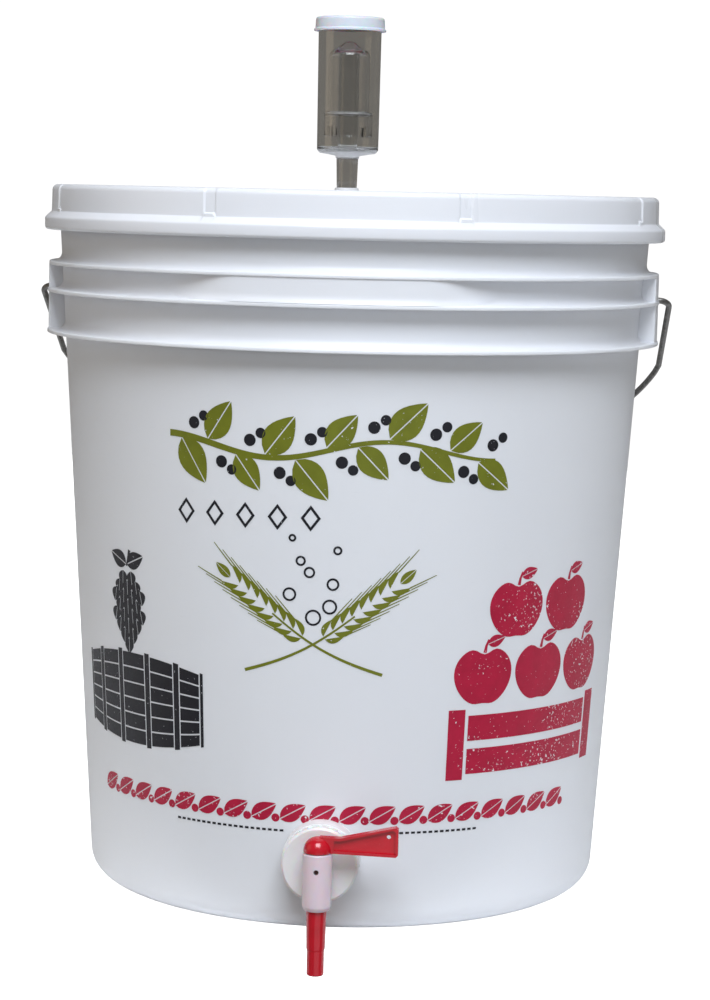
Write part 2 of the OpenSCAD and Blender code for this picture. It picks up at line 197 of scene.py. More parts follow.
def piece(name, verts, faces, body, slot, stands_for=(), matrix=None):
    """A mesh object that rides on a body and stands for CAD nodes."""
    made = loose_mesh(name, verts, faces, matrix)
    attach(made, body)
    if stands_for:
        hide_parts(*stands_for)
    return made


def finished_copy(name, node, body, width, segments=2):
    """A CAD node's own shape with its sharp edges broken by a small bevel."""
    flat, crisp = math.radians(0.6), math.radians(28)
    work = bmesh.new()
    work.from_mesh(nodes[node].data)
    bmesh.ops.remove_doubles(work, verts=work.verts, dist=2e-6)
    bmesh.ops.dissolve_limit(work, angle_limit=flat, verts=work.verts, edges=work.edges)
    sharp = [e for e in work.edges if e.is_manifold and e.calc_face_angle(0) > crisp]
    bmesh.ops.bevel(work, geom=sharp, offset=width * MM, segments=segments, profile=0.5,
                    affect="EDGES", clamp_overlap=True)
    mesh = bpy.data.meshes.new(name)
    work.to_mesh(mesh)
    work.free()
    smooth_mesh(mesh, 50)
    made = new_object(name, mesh)
    weighted = made.modifiers.new("weighted_normals", "WEIGHTED_NORMAL")
    weighted.keep_sharp = True
    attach(made, body)
    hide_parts(node)
    return made


def carve(target, cutter):
    """Cuts one mesh out of another for good, and removes the cutter."""
    modifier = target.modifiers.new("carve", "BOOLEAN")
    modifier.operation = "DIFFERENCE"
    modifier.solver = "EXACT"
    modifier.object = cutter
    bpy.context.view_layer.update()
    evaluated = target.evaluated_get(bpy.context.evaluated_depsgraph_get())
    mesh = bpy.data.meshes.new_from_object(evaluated)
    target.modifiers.clear()
    old = target.data
    target.data = mesh
    bpy.data.meshes.remove(old)
    bpy.data.objects.remove(cutter)
    smooth_mesh(mesh)


def sweep(path, radius, sides=16):
    """A round tube along millimetre points, closed with domed ends."""
    points = [Vector(p) for p in path]
    verts = []
    rings = []
    up = None
    count = len(points)
    for i, point in enumerate(points):
        ahead = (points[min(i + 1, count - 1)] - points[max(i - 1, 0)]).normalized()
        if up is None:
            up = ahead.orthogonal().normalized()
        up = (up - ahead * up.dot(ahead)).normalized()
        side = ahead.cross(up)
        layers = [(0, radius)]
        if i == 0:
            layers = [(-radius * 0.8, radius * 0.55), (-radius * 0.4, radius * 0.9), (0, radius)]
        if i == count - 1:
            layers = [(0, radius), (radius * 0.4, radius * 0.9), (radius * 0.8, radius * 0.55)]
        for shift, size in layers:
            ring = []
            for k in range(sides):
                turn = 2 * math.pi * k / sides
                offset = (up * math.cos(turn) + side * math.sin(turn)) * size
                ring.append(len(verts))
                verts.append(point + ahead * shift + offset)
            rings.append(ring)
    faces = [list(reversed(rings[0])), list(rings[-1])]
    for a, b in zip(rings, rings[1:]):
        for k in range(sides):
            faces.append([a[k], a[(k + 1) % sides], b[(k + 1) % sides], b[k]])
    return verts, faces


def bend(centre, radius, start, end, steps):
    """Points along an arc in the XZ plane, angles in degrees from +X."""
    points = []
    for i in range(steps + 1):
        turn = math.radians(start + (end - start) * i / steps)
        points.append((centre[0] + radius * math.cos(turn), 0, centre[1] + radius * math.sin(turn)))
    return points


# ---- Material helpers ----

class Shader:
    """A node material with a Principled shader and short ways to feed it."""

    def __init__(self, name):
        self.material = bpy.data.materials.new(name)
        self.material.use_nodes = True
        self.tree = self.material.node_tree
        self.bsdf = self.tree.nodes["Principled BSDF"]
        self.place = self.tree.nodes.new("ShaderNodeTexCoord").outputs["Object"]

    def set(self, **values):
        """Constants on the shader's own sockets, with _ for each space in a name."""
        for key, value in values.items():
            self.bsdf.inputs[key.replace("_", " ")].default_value = value

    def feed(self, socket, output):
        """Links an output to a socket of the shader."""
        self.tree.links.new(output, self.bsdf.inputs[socket])

    def along(self, axis):
        """The object coordinate on one axis, in metres."""
        made = self.tree.nodes.new("ShaderNodeSeparateXYZ")
        self.tree.links.new(self.place, made.inputs["Vector"])
        return made.outputs[axis]

    def noise(self, scale, detail=3, roughness=0.55, stretch=(1, 1, 1)):
        mapping = self.tree.nodes.new("ShaderNodeMapping")
        mapping.inputs["Scale"].default_value = stretch
        self.tree.links.new(self.place, mapping.inputs["Vector"])
        made = self.tree.nodes.new("ShaderNodeTexNoise")
        made.inputs["Scale"].default_value = scale
        made.inputs["Detail"].default_value = detail
        made.inputs["Roughness"].default_value = roughness
        self.tree.links.new(mapping.outputs["Vector"], made.inputs["Vector"])
        return made.outputs["Fac"]

    def ramp(self, fac, stops):
        """Maps a value to a colour, through (position, colour) stops."""
        made = self.tree.nodes.new("ShaderNodeValToRGB")
        elements = made.color_ramp.elements
        while len(elements) < len(stops):
            elements.new(0.5)
        for element, (position, colour) in zip(elements, stops):
            element.position = position
            element.color = (*colour, 1)
        self.tree.links.new(fac, made.inputs["Fac"])
        return made.outputs["Color"]

    def grey(self, fac, low, high, start=0.3, end=0.7):
        """Maps start..end to low..high and holds the ends. Noise lies mostly in 0.3..0.7."""
        made = self.tree.nodes.new("ShaderNodeMapRange")
        made.inputs["From Min"].default_value = start
        made.inputs["From Max"].default_value = end
        made.inputs["To Min"].default_value = low
        made.inputs["To Max"].default_value = high
        self.tree.links.new(fac, made.inputs["Value"])
        return made.outputs["Result"]

    def maths(self, operation, first, second):
        """One sum or product of two sockets."""
        made = self.tree.nodes.new("ShaderNodeMath")
        made.operation = operation
        self.tree.links.new(first, made.inputs[0])
        self.tree.links.new(second, made.inputs[1])
        return made.outputs["Value"]

    def mix(self, fac, first, second):
        """Mixes two colours. Each of the three may be a socket or a constant."""
        made = self.tree.nodes.new("ShaderNodeMix")
        made.data_type = "RGBA"
        for socket, value in (("Factor", fac), ("A", first), ("B", second)):
            found = [s for s in made.inputs if s.name == socket and s.enabled][0]
            if isinstance(value, bpy.types.NodeSocket):
                self.tree.links.new(value, found)
            elif isinstance(value, tuple):
                found.default_value = (*value, 1)
            else:
                found.default_value = value
        return [s for s in made.outputs if s.enabled][0]

    def clouded(self, colour, scale, detail, darker):
        """A colour that drifts to a darker shade of itself in soft clouds."""
        clouds = self.grey(self.noise(scale, detail), 0, 1)
        return self.mix(clouds, colour, tuple(c * darker for c in colour))

    def bump(self, *layers):
        """Bumps from (height, depth in metres, strength) layers, coarse first."""
        normal = None
        for height, depth, strength in layers:
            made = self.tree.nodes.new("ShaderNodeBump")
            made.inputs["Distance"].default_value = depth
            made.inputs["Strength"].default_value = strength
            self.tree.links.new(height, made.inputs["Height"])
            if normal:
                self.tree.links.new(normal, made.inputs["Normal"])
            normal = made.outputs["Normal"]
        self.feed("Normal", normal)


def moulded_white(name, pale, deep, rough_low=0.3, rough_high=0.42):
    """Satin polyethylene: soft inside glow, faint flow marks and small scuffs."""
    s = Shader(name)
    flow = s.noise(14, 4, 0.6, stretch=(1, 1, 0.25))
    scuff = s.noise(240, 3, 0.6, stretch=(1, 1, 7))
    base = s.mix(s.grey(s.noise(5, 2), 0, 1), pale, deep)
    marks = s.grey(scuff, 0, 0.35, 0.66, 0.8)
    s.feed("Base Color", s.mix(marks, base, tuple(c * 0.86 for c in deep)))
    s.feed("Roughness", s.grey(flow, rough_low, rough_high))
    s.set(Subsurface_Weight=0.3, Subsurface_Scale=0.004, IOR=1.5, Specular_IOR_Level=0.5)
    s.bsdf.inputs["Subsurface Radius"].default_value = (1.0, 0.95, 0.9)
    s.bump((flow, 0.0006, 0.25), (s.noise(900, 2), 0.00003, 0.35))
    return s.material


def clear_plastic(name, tint, low, high):
    """Clear polystyrene with fine scratches. Between two heights in millimetres a band is painted
    near white, made less clear and rougher: a painted reflection and highlight.
    """
    s = Shader(name)
    s.set(IOR=1.59)
    height = s.along("Z")
    below = s.grey(height, 1, 0, (high - 0.8) * MM, (high + 0.8) * MM)
    above = s.grey(height, 0, 1, (low - 0.5) * MM, (low + 0.5) * MM)
    # painted highlight: between low and high the plastic is painted near white and made less clear,
    # standing for white reflections, and made rougher
    painted_white_band = s.maths("MULTIPLY", below, above)
    gloss = s.grey(s.noise(300, 3), 0.02, 0.07)
    s.feed("Base Color", s.mix(painted_white_band, s.clouded(tint, 60, 3, 0.94), (0.97, 0.97, 0.98)))
    s.feed("Roughness", s.maths("ADD", gloss, s.grey(painted_white_band, 0, 0.35, 0, 1)))
    s.feed("Transmission Weight", s.grey(painted_white_band, 1, 0.35, 0, 1))
    s.bump((s.noise(130, 2, stretch=(1, 1, 0.3)), 0.0004, 0.18))
    return s.material


def milky_plastic(name, tint, transmission, painted_showthrough_tint=None, painted_shade_spot=None):
    """Natural polypropylene or polyethylene that lets light through softly.

    The colour after the transmission is painted light: the red key's colour, as seen through the
    tap's barrel, painted into its base colour.
    The point after it is the middle of the moulding gate's dimple, in millimetres, which is painted
    dark red as shade.
    """
    spot_in, spot_out = 1.35 * MM, 1.65 * MM
    s = Shader(name)
    base = s.clouded(tint, 90, 3, 0.95)
    if painted_showthrough_tint:
        # painted light: the red key's colour is painted into the barrel's base colour as if seen
        # through it
        base = s.mix(painted_showthrough_share(s), base, painted_showthrough_tint)
    if painted_shade_spot:
        near = s.tree.nodes.new("ShaderNodeVectorMath")
        near.operation = "DISTANCE"
        s.tree.links.new(s.place, near.inputs[0])
        near.inputs[1].default_value = tuple(v * MM for v in painted_shade_spot)
        # painted shade: the dimple's middle is coloured a deep dark red, standing for shade in the
        # hole
        inside = s.grey(near.outputs["Value"], 1, 0, spot_in, spot_out)
        base = s.mix(inside, base, (0.07, 0.012, 0.014))
    s.feed("Base Color", base)
    s.feed("Roughness", s.grey(s.noise(500, 2), 0.28, 0.4))
    s.set(Transmission_Weight=transmission, IOR=1.49, Subsurface_Weight=0.5, Subsurface_Scale=0.003)
    s.bump((s.noise(400, 3), 0.0001, 0.3))
    return s.material


def painted_showthrough_share(s):
    """Painted light: how strongly the key's colour is painted on as showing through, half over the
    barrel, not at all behind it.
    """
    full, none = (BARREL_Y + 7.2) * MM, (BARREL_Y + 9.5) * MM
    return s.grey(s.along("Y"), 0.55, 0, full, none)


def glossy_red(name):
    """Glossy injection-moulded red, with slight sink waves and dust."""
    s = Shader(name)
    base = s.mix(s.grey(s.noise(70, 3), 0, 1), (0.56, 0.006, 0.02), (0.46, 0.004, 0.014))
    dust = s.grey(s.noise(1500, 2), 0, 0.25, 0.68, 0.8)
    s.feed("Base Color", s.mix(dust, base, (0.7, 0.2, 0.2)))
    s.feed("Roughness", s.grey(s.noise(160, 3), 0.16, 0.26))
    s.set(IOR=1.5, Coat_Weight=0.25, Coat_Roughness=0.12)
    s.set(Subsurface_Weight=0.1, Subsurface_Scale=0.002)
    s.bump((s.noise(120, 2), 0.0004, 0.3), (s.noise(1800, 2), 0.00002, 0.3))
    return s.material


def drawn_wire(name):
    """Galvanised wire: mottled zinc with draw lines along it."""
    s = Shader(name)
    mottle = s.noise(350, 4, 0.7)
    zinc = [(0.3, (0.11, 0.106, 0.1)), (0.5, (0.19, 0.184, 0.175)), (0.75, (0.32, 0.31, 0.3))]
    s.feed("Base Color", s.ramp(mottle, zinc))
    s.feed("Roughness", s.grey(mottle, 0.32, 0.55))
    s.set(Metallic=0.85)
    s.bump((s.noise(900, 3, stretch=(0.2, 1, 1)), 0.00008, 0.5))
    return s.material


def soft_rubber(name, colour, rough=0.6):
    """Moulded rubber or silicone with a dull, dusty bloom."""
    s = Shader(name)
    s.feed("Base Color", s.clouded(colour, 160, 4, 0.86))
    s.feed("Roughness", s.grey(s.noise(600, 3), rough - 0.08, rough + 0.1))
    s.set(Sheen_Weight=0.08, IOR=1.45)
    s.bump((s.noise(1100, 3), 0.00008, 0.4))
    return s.material


def screen_ink(name, colour, worn=0.0):
    """Screen ink over white plastic. The worn share shows the plastic through specks."""
    s = Shader(name)
    base = s.clouded(colour, 120, 4, 0.82)
    patch = s.grey(s.noise(26, 3), 0, 0.09 * worn, 0.42, 0.62)
    fleck = s.noise(620, 3, 0.6)
    holes = s.grey(s.maths("ADD", fleck, patch), 0, 1, 0.69, 0.73)
    s.feed("Base Color", s.mix(holes, base, (0.74, 0.75, 0.79)))
    s.feed("Roughness", s.grey(s.noise(700, 2), 0.42, 0.55))
    s.set(IOR=1.5, Specular_IOR_Level=0.4)
    s.bump((fleck, 0.00005, 0.3))
    return s.material


def paint(target, material):
    """Gives an object one material in every slot."""
    target.data.materials.clear()
    target.data.materials.append(material)


# ---- Pail ----

def ear_reach(angle):
    """Radius of the ear's outer plate at an angle, or 0 away from the ears."""
    edge_drop = 0.9
    off = abs((angle + 90) % 180 - 90)
    if off > EAR_HALF:
        return 0
    share = max(0, off - (EAR_HALF - EAR_ROUND)) / EAR_ROUND
    return EAR_OUT - edge_drop * (1 - math.sqrt(max(0, 1 - share * share)))


def band_reach(angle, z):
    """Radius of the filled band over the tap, which flares into the ring below."""
    off = abs((angle + 90 + 180) % 360 - 180)
    share = min(1, max(0, (BAND_END - off) / (BAND_END - BAND_FLAT)))
    blend = share * share * (3 - 2 * share)
    reach = BAND_IN + (BAND_OUT - BAND_IN) * blend
    rise = (z - RINGS[1][0] - RING_T) / RING_FILLET
    return reach + BAND_FLARE * blend * max(0, 1 - max(0, rise)) ** 2


def pail_warp(angle, r, z):
    """Adds the ear plates and the front band to the plain ringed wall."""
    if r < wall_r(z) - 0.9:
        return r, z
    low, middle, high = (ring[0] for ring in RINGS)
    if low - 0.01 <= z <= high + 0.01:
        r = max(r, ear_reach(angle))
    if middle + RING_T - 0.01 <= z <= high + 0.01:
        r = max(r, min(band_reach(angle, z), RINGS[1][1]))
    return r, z


def pail_outline():
    """Section of the ringed wall, the rim's snap bead, the floor and the foot ring."""
    corners = [(0, FOOT_H, 0), (FOOT_IN, FOOT_H, 0.9), (FOOT_IN, 0, 0.9), (BASE_R, 0, CORNER_R)]
    snap_r, snap = 172.4, (384.8, 386.2, 387.8, 389.2)
    for z, reach in RINGS:
        corners += [(wall_r(z), z, 0.5), (reach, z, 0.5), (reach, z + RING_T, 0.8),
                    (wall_r(z + RING_T), z + RING_T, RING_FILLET)]
    corners += [(wall_r(snap[0]), snap[0], 0.8), (snap_r, snap[1], 0.8), (snap_r, snap[2], 0.8),
                (wall_r(snap[3]), snap[3], 0.8), (wall_r(RIM_Z), RIM_Z, 1),
                (wall_r(RIM_Z) - WALL_T, RIM_Z, 1),
                (wall_r(FLOOR_Z) - WALL_T, FLOOR_Z, CORNER_R - WALL_T), (0, FLOOR_Z, 0)]
    return subdivide_long(rounded(corners, 8), 12)


def subdivide_long(outline, longest):
    """Adds points along long straight stretches, so that normals stay even."""
    out = []
    for i, (x, y) in enumerate(outline):
        following = outline[(i + 1) % len(outline)]
        out.append((x, y))
        if x < 1e-6 and following[0] < 1e-6:
            continue
        length = math.dist((x, y), following)
        parts = int(length // longest)
        for k in range(1, parts + 1):
            share = k / (parts + 1)
            out.append((x + (following[0] - x) * share, y + (following[1] - y) * share))
    return out


def pail_angles():
    """Every degree, with extra steps where the ears begin and end."""
    angles = set(even_angles(360))
    for side in (0, 180):
        for off in (9.7, 9.82, 9.91, 9.97, 10, 10.03):
            angles.add((side + off) % 360)
            angles.add((side - off) % 360)
    return sorted(angles)


def ear_cutters():
    """Pockets inside the ears, open below, and the two pivot holes."""
    low, high = RINGS[0][0] - 2, RINGS[2][0] - 0.4
    half = EAR_HALF - 0.75
    plate_in = EAR_OUT - 2.4
    skin = 0.35
    for side in (0, 180):
        outline = [(wall_r(low) + skin, low), (plate_in, low), (plate_in, high),
                   (wall_r(high) + skin, high)]
        rows = [side - half + 2 * half * i / 16 for i in range(17)]
        verts, faces = revolve(outline, rows)
        ends = len(verts) - 4
        faces = [f for f in faces if not (min(f) < 4 and max(f) >= ends)]
        faces += [[3, 2, 1, 0], [ends, ends + 1, ends + 2, ends + 3]]
        yield loose_mesh("ear_pocket", verts, faces)
        hole = revolve(plug(PIVOT_HOLE_R, 6), even_angles(40))
        turn = Matrix.Rotation(math.radians(side), 4, "Z")
        shift = Matrix.Translation(Vector((EAR_OUT, 0, PIVOT_Z)) * MM)
        yield loose_mesh("pivot_hole", *hole, turn @ shift @ Matrix.Rotation(math.pi / 2, 4, "Y"))


def plug(radius, reach):
    """Outline of a drill that cuts as far to one side of the origin as to the other."""
    return [(0, -reach), (radius, -reach), (radius, reach), (0, reach)]


def make_pail():
    """The pail's shell, with the ear pockets, pivot holes and tap hole cut out."""
    verts, faces = revolve(pail_outline(), pail_angles(), pail_warp)
    pail = piece("pail_shell", verts, faces, "pail", "pail_white", ["bucket_body"])
    for cutter in ear_cutters():
        carve(pail, cutter)
    bore = revolve(plug(TAP_HOLE_R, 20), even_angles(64))
    place = Matrix.Translation(Vector((0, -wall_r(TAP_Z), TAP_Z)) * MM)
    carve(pail, loose_mesh("tap_hole", *bore, place @ Matrix.Rotation(math.pi / 2, 4, "X")))
    paint(pail, moulded_white("pail_polyethylene", (0.80, 0.815, 0.85), (0.765, 0.78, 0.82)))


# ---- Lid ----

GROOVE_FOOT = 386.3
GROOVE_DEPTH = 0.8
GROOVE_HALF = 3.9
TAB_LOW = 383
TAB_HALF = 5
TAB_R = 175.9
TAB_SLANT = 2.2 / 3.3
GROOVES = [23.1 - 90 + 45 * i for i in range(8)]


def groove_offset(angle):
    """Arc distance in millimetres from the nearest tear groove's middle."""
    off = min(abs((angle - g + 180) % 360 - 180) for g in GROOVES)
    return math.radians(off) * SKIRT_R


def lid_warp(angle, r, z):
    """Tear grooves down the skirt, and the small tab at each groove's foot."""
    off = groove_offset(angle)
    if r < SKIRT_R - 3.4 or off > 6:
        return r, z
    if z > GROOVE_FOOT:
        side = min(1, max(0, (GROOVE_HALF - off) / 1.1))
        return r - GROOVE_DEPTH * side * min(1, (z - GROOVE_FOOT) / 0.8), z
    slant = TAB_HALF - max(0, z - TAB_LOW) * TAB_SLANT
    if z > TAB_LOW and off < slant + 0.3:
        return max(r, TAB_R - max(0, off - slant + 0.3)), z
    return r, z


def lid_outline():
    """Section of the panel, the gasket's channel, the bead and the skirt."""
    under = PANEL_Z - PANEL_T
    lip_out, lip_low = CHANNEL_IN + 2.2, 389
    inner_r = 176.4
    corners = [(0, under, 0), (CHANNEL_IN, under, 0.5), (CHANNEL_IN, lip_low, 0.7),
               (lip_out, lip_low, 0.7), (lip_out, CHANNEL_TOP, 0.8),
               (CHANNEL_OUT, CHANNEL_TOP, 0.8), (CHANNEL_OUT, 383.4, 0.5), (inner_r, 379.3, 0.8),
               (inner_r, LID_LOW, 0.4), (BEAD_R, LID_LOW, 1.9), (BEAD_R, 381.4, 2),
               (SKIRT_R + 0.3, 384.9, 0.8), (SKIRT_R + 0.28, GROOVE_FOOT, 0),
               (SKIRT_R + 0.26, GROOVE_FOOT + 0.8, 0), (SKIRT_R, LID_TOP, 3.2),
               (CHANNEL_IN, LID_TOP, 1.2), (CHANNEL_IN, PANEL_Z, 0.8)]
    ring_t, ring_top = 2.4, PANEL_Z + 1.2
    for ring in (142, 100):
        corners += [(ring, PANEL_Z, 0.5), (ring, ring_top, 0.4),
                    (ring - ring_t, ring_top, 0.4), (ring - ring_t, PANEL_Z, 0.5)]
    return subdivide_long(rounded(corners + [(0, PANEL_Z, 0)]), 12)


def lid_angles():
    """Every degree, with a finer row of steps across each tear groove."""
    angles = set(even_angles(360))
    for groove in GROOVES:
        angles = {a for a in angles if abs((a - groove + 180) % 360 - 180) > 2.2}
        for off in (0, 1, 2, 2.5, 2.7, 2.9, 3.1, 3.3, 3.6, 3.9, 4.2, 4.5, 4.8, 5.1, 5.4, 6.2):
            step = math.degrees(off / SKIRT_R)
            angles.add((groove + step) % 360)
            angles.add((groove - step) % 360)
    return sorted(angles)


def lid_ribs():
    """Twelve stiffening ribs under the panel."""
    near, far, low, high = 50, CHANNEL_IN + 0.2, 390.4, 394.6
    for i in range(12):
        verts = []
        section = ((near, 0.9, low), (far, 0.9, low), (far, 1.1, high), (near, 1.1, high))
        for along, wide, z in section:
            verts += [(along, -wide, z), (along, wide, z)]
        faces = [[0, 1, 3, 2], [2, 3, 5, 4], [4, 5, 7, 6], [6, 7, 1, 0], [0, 2, 4, 6], [7, 5, 3, 1]]
        yield verts, faces, Matrix.Rotation(math.radians(15 + 30 * i), 4, "Z")


def make_lid():
    """The lid's shell with its grommet hole, and its ribs."""
    verts, faces = revolve(lid_outline(), lid_angles(), lid_warp)
    lid = piece("lid_shell", verts, faces, "lid", "lid_white", ["lid"])
    low, high = 380, 410
    hole = [(0, low), (GROMMET_HOLE_R, low), (GROMMET_HOLE_R, high), (0, high)]
    bore = revolve(hole, even_angles(48))
    carve(lid, loose_mesh("grommet_hole", *bore, Matrix.Translation((0, LOCK_Y * MM, 0))))
    pale, deep = (0.815, 0.83, 0.87), (0.78, 0.795, 0.84)
    white = moulded_white("lid_polyethylene", pale, deep, 0.26, 0.38)
    paint(lid, white)
    verts, faces = [], []
    for rib_verts, rib_faces, turn in lid_ribs():
        faces += [[index + len(verts) for index in face] for face in rib_faces]
        verts += [turn @ Vector(v) for v in rib_verts]
    paint(piece("lid_ribs", verts, faces, "lid", "lid_white"), white)


# ---- Airlock ----

def bell_outline():
    """The bell: a domed tube over a wider skirt, in a wall of even thickness."""
    foot, step, step_in, top, top_in = 429.5, 442.5, 441.1, 481.5, 480.1
    skirt_r, skirt_in, tube_r, tube_in = 13.2, 11.8, 11.45, 10.05
    outside = [(skirt_r, foot, 0.35), (skirt_r, step, 0.5), (tube_r, step, 0.3), (tube_r, 475.2, 4),
               (7.6, 477.3, 3), (3.2, 480.4, 3), (1.6, top, 0.8), (0, top, 0)]
    inside = [(0, top_in, 0), (1.8, top_in, 0.8), (3.2, 478.9, 2), (7.2, 475.9, 2),
              (tube_in, 474.1, 2.6), (tube_in, step_in, 0.4), (skirt_in, step_in, 0.4),
              (skirt_in, foot, 0.35)]
    return subdivide_long(rounded(outside + inside, 6), 8)


def slab(near, far, half, low, high):
    """A box on the +X side of the axis."""
    verts = [(x, y, z) for x in (near, far) for y in (-half, half) for z in (low, high)]
    faces = [[0, 1, 3, 2], [4, 6, 7, 5], [0, 4, 5, 1], [2, 3, 7, 6], [0, 2, 6, 4], [1, 5, 7, 3]]
    return verts, faces


def cup_outline():
    """The cup, with the stem below it and the riser tube inside, in one moulding.

    Its bottom is a millimetre lower than in the CAD source, as the photo shows it.
    """
    stem_foot, stem_top, bore_top = 381, 417.6, 418.6
    brim, riser_top = 491.6, 475.8
    stem_in, riser_r, riser_in = 3.4, 5.5, 4.4
    outside = [(stem_in, stem_foot, 0.3), (5, stem_foot, 0.5), (6, stem_top, 0.15),
               (6.4, stem_top, 0.2), (6.65, 419, 0.6), (15.4, 420.4, 1.2), (16.9, 422.2, 1.2),
               (17.3, brim, 0.4)]
    inside = [(16.2, brim, 0.4), (15.8, 423.5, 1.2), (14.4, 421.8, 1), (riser_r, 420.6, 0.8),
              (riser_r, riser_top, 0.5), (riser_in, riser_top, 0.4), (riser_in, bore_top, 0.4),
              (stem_in, bore_top, 0.2)]
    return subdivide_long(rounded(outside + inside), 8)


def make_airlock():
    """The airlock's cup, bell and cap, and the grommet that holds it."""
    place = Matrix.Translation((0, LOCK_Y * MM, 0))
    cup = piece("airlock_cup", *revolve(cup_outline(), even_angles(96)), "airlock",
                "airlock_clear", ["airlock_body"], place)
    # 418 to 421.1 mm: the cup's bottom is painted white, a painted reflection and highlight
    paint(cup, clear_plastic("clear_styrene", (0.96, 0.962, 0.95), 418, 421.1))
    bell = piece("airlock_bell", *revolve(bell_outline(), even_angles(96)), "float", "float_clear",
                 ["airlock_float"], place)
    for i in range(4):
        turn = Matrix.Rotation(math.radians(45 + 90 * i), 4, "Z")
        carve(bell, loose_mesh("bell_notch", *slab(9.4, 15.5, 1.6, 428.5, 434.7), place @ turn))
    # 441.4 to 442.4 mm: the bell's step is painted white, a painted highlight along its rim
    paint(bell, clear_plastic("bell_styrene", (0.98, 0.98, 0.985), 441.4, 442.4))
    cap = finished_copy("airlock_lid", "airlock_cap", "cap", 0.3)
    paint(cap, milky_plastic("cap_polyethylene", (0.80, 0.83, 0.92), 0.15))
    grommet = finished_copy("grommet", "lid_grommet", "lid", 0.25)
    paint(grommet, soft_rubber("grommet_rubber_pale", (0.72, 0.72, 0.73)))


# ---- Bail ----

def bail_path():
    """Centreline of the hanging bail in its own plane, from one hook to the other."""
    arc_r, drop_zero, flat = 187, 27, 48
    knee_x, lean, outer = 180.3, 2.2, 6.5
    hook_x, hook_r, hook_top = 171.1, 2.6, 8.2
    top = math.degrees(math.asin(knee_x / arc_r))
    low = math.degrees(math.asin(flat / arc_r))
    knee = (knee_x, -drop_zero - arc_r * math.cos(math.radians(top)))
    leg_top = outer * (1 + math.sin(math.radians(lean)))
    leg = (-knee[1] - leg_top) / math.cos(math.radians(lean))
    leg_x = knee[0] + leg * math.sin(math.radians(lean))
    stub_out = leg_x - outer * math.cos(math.radians(lean))
    half = [(hook_x, 0, hook_top), (hook_x, 0, 5), (hook_x, 0, hook_r)]
    half += bend((hook_x + hook_r, hook_r), hook_r, 180, 270, 6)
    half += bend((stub_out, -outer), outer, 90, -lean, 8)
    half += bend((knee[0] - 3.1, knee[1] + 3.5), 3.6, -2, -18, 3)
    half += bend((0, -drop_zero), arc_r, top - 91.5, low - 90, 36)
    half += [(flat - 1.5, 0, -drop_zero - arc_r * math.cos(math.radians(low)))]
    mirrored = [(-x, y, z) for x, y, z in reversed(half)]
    return half + mirrored, half[-1][2]


def make_bail():
    """The wire and its grip, built hanging straight down and then swung back."""
    path, grip_z = bail_path()
    swing = Matrix.Translation((0, 0, PIVOT_Z * MM)) @ Matrix.Rotation(BAIL_LEAN, 4, "X")
    wire = piece("bail_handle", *sweep(path, WIRE_R), "bail", "wire_steel", ["bail_wire"], swing)
    paint(wire, drawn_wire("zinc_wire"))
    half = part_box("bail_grip")[1].x / MM
    bore, crest, valley, pitch = WIRE_R + 0.3, 9.5, 8.7, 9
    corners = [(bore, -half, 0.3), (7.6, -half, 1.4), (9.1, -half + 3, 1)]
    for i in range(-4, 5):
        corners += [(crest, i * pitch - 1.8, 0.5), (valley, i * pitch - 0.9, 0.4),
                    (valley, i * pitch + 0.9, 0.4), (crest, i * pitch + 1.8, 0.5)]
    corners += [(9.1, half - 3, 1), (7.6, half, 1.4), (bore, half, 0.3)]
    lay = Matrix.Translation((0, 0, grip_z * MM)) @ Matrix.Rotation(math.pi / 2, 4, "Y")
    grip = piece("bail_roller", *revolve(subdivide_long(rounded(corners, 3), 10), even_angles(64)),
                 "grip", "grip_plastic", ["bail_grip"], swing @ lay)
    paint(grip, moulded_white("grip_polyethylene", (0.8, 0.81, 0.83), (0.76, 0.77, 0.8), 0.35, 0.5))


# ---- Tap ----

def make_tap():
    """The tap, its nut and washers, and the lid's gasket, all as bevelled CAD shapes."""
    # The pink colour is painted light, the red key seen through the barrel; the point after it is
    # the dimple's painted shade.
    natural = milky_plastic("tap_polypropylene", (0.89, 0.875, 0.875), 0.12, (0.84, 0.56, 0.68),
                            (0, BARREL_Y - 7, TAP_Z + 0.8))
    paint(finished_copy("tap_barrel", "tap_body", "pail", 0.3), natural)
    paint(finished_copy("tap_nut", "tap_back_nut", "pail", 0.5), natural)
    lever = finished_copy("tap_lever", "tap_key", "key", 0.45, 3)
    paint(lever, glossy_red("tap_red_gloss"))
    white = soft_rubber("washer_silicone", (0.86, 0.86, 0.87), 0.45)
    paint(finished_copy("washer_front", "tap_outer_washer", "pail", 0.5), white)
    grey = soft_rubber("washer_rubber", (0.16, 0.16, 0.16))
    paint(finished_copy("washer_back", "tap_inner_washer", "pail", 0.4), grey)
    seal = soft_rubber("gasket_foam", (0.6, 0.6, 0.57))
    paint(finished_copy("gasket", "lid_gasket", "lid", 0.3), seal)


# ---- Printed decoration ----
# Generic pictures stand where the real pail has lettering. A shape is a list of
# (u, v) points in millimetres, u along the wall and v upwards.

INK_LIFT, INK_SINK = 0.12, 0.06


def turned(points, x, y, angle):
    """Points turned by an angle in degrees, then moved."""
    c, s = math.cos(math.radians(angle)), math.sin(math.radians(angle))
    return [(x + c * u - s * v, y + s * u + c * v) for u, v in points]


def half_leaf(length, width, side, gap):
    """One half of a pointed leaf along +u, on one side of its midrib."""
    steps = 10
    rib = [(length * i / steps, side * gap) for i in range(steps + 1)]
    edge = []
    for i in range(steps - 1, 0, -1):
        t = i / steps
        swell = width / 2 * math.sin(math.pi * t ** 0.8) ** 0.9
        edge.append((length * t, side * (gap + swell)))
    return rib + edge


